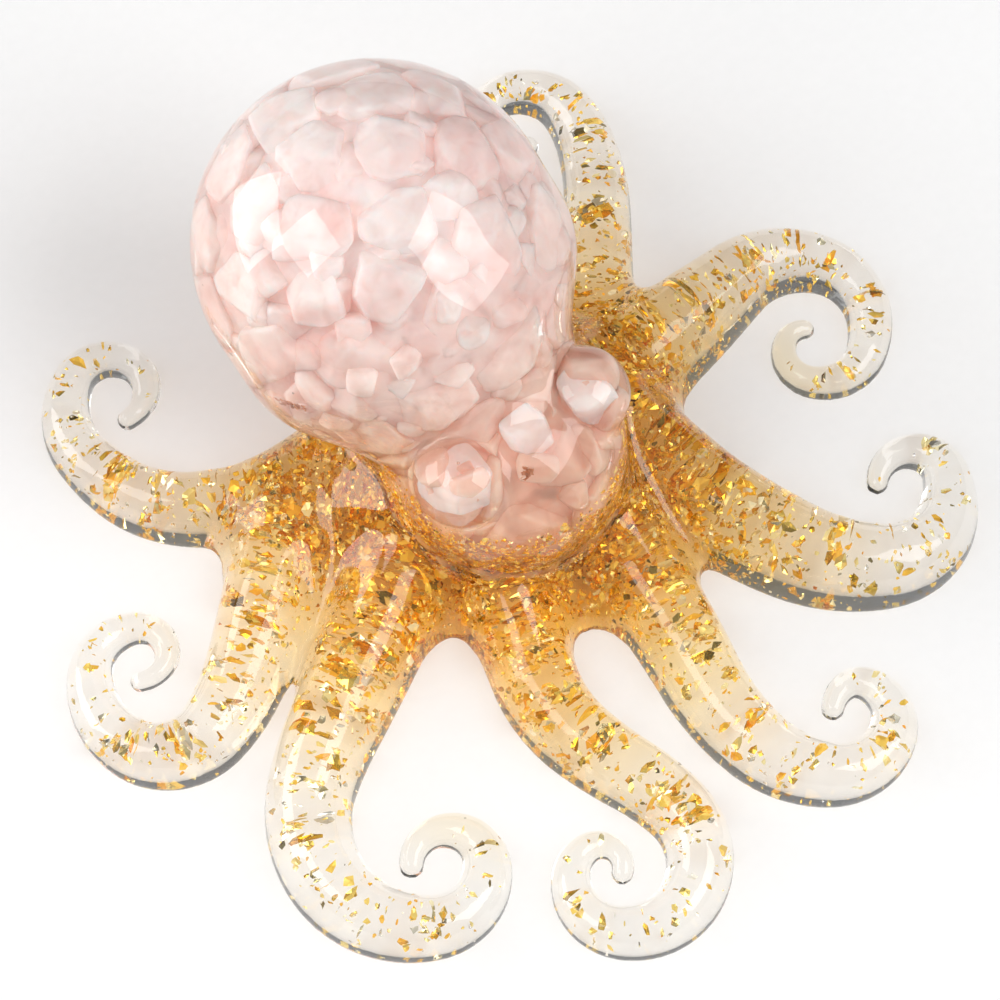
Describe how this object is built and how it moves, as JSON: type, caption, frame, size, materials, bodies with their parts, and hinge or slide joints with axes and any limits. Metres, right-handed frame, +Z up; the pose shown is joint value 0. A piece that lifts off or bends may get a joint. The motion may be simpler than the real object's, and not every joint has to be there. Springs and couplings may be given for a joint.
{
  "type": "octopus figurine",
  "caption": "Octopus figurine in clear resin: a round head packed with pale pink stone chips, and curled tentacles flecked with gold foil, resting flat",
  "frame": {"origin": "on the surface that the figurine rests on, under the neck, on the head's middle plane", "axes": "+Z up, -Y the way the octopus faces, +X to the right as seen from in front, which is how the names of the nodes say left and right"},
  "size_m": [0.125, 0.1158, 0.0575],
  "materials": {
    "clear_resin": "clear cast epoxy resin, polished by the mould",
    "rose_quartz": "tumbled rose quartz chips, milky and translucent",
    "gold_foil": "crumpled gilding foil flakes"
  },
  "bodies": {
    "root": {"back_chips": "rose_quartz", "brow_chip": "rose_quartz", "core_chips": "rose_quartz", "crown_chips": "rose_quartz", "face_chips": "rose_quartz", "face_resin": "clear_resin", "foil_front_left": "gold_foil", "foil_front_right": "gold_foil", "foil_left": "gold_foil", "foil_left_front": "gold_foil", "foil_rear_left": "gold_foil", "foil_rear_right": "gold_foil", "foil_right": "gold_foil", "foil_right_front": "gold_foil", "foil_skirt": "gold_foil", "left_eye_chip": "rose_quartz", "left_eye_dome": "clear_resin", "left_mantle_chips": "rose_quartz", "mantle_resin": "clear_resin", "neck_chips": "rose_quartz", "right_eye_chip": "rose_quartz", "right_eye_dome": "clear_resin", "right_mantle_chips": "rose_quartz", "skirt_resin": "clear_resin", "tentacle_front_left": "clear_resin", "tentacle_front_right": "clear_resin", "tentacle_left": "clear_resin", "tentacle_left_front": "clear_resin", "tentacle_rear_left": "clear_resin", "tentacle_rear_right": "clear_resin", "tentacle_right": "clear_resin", "tentacle_right_front": "clear_resin", "underside_chips": "rose_quartz"}
  },
  "joints": []
}
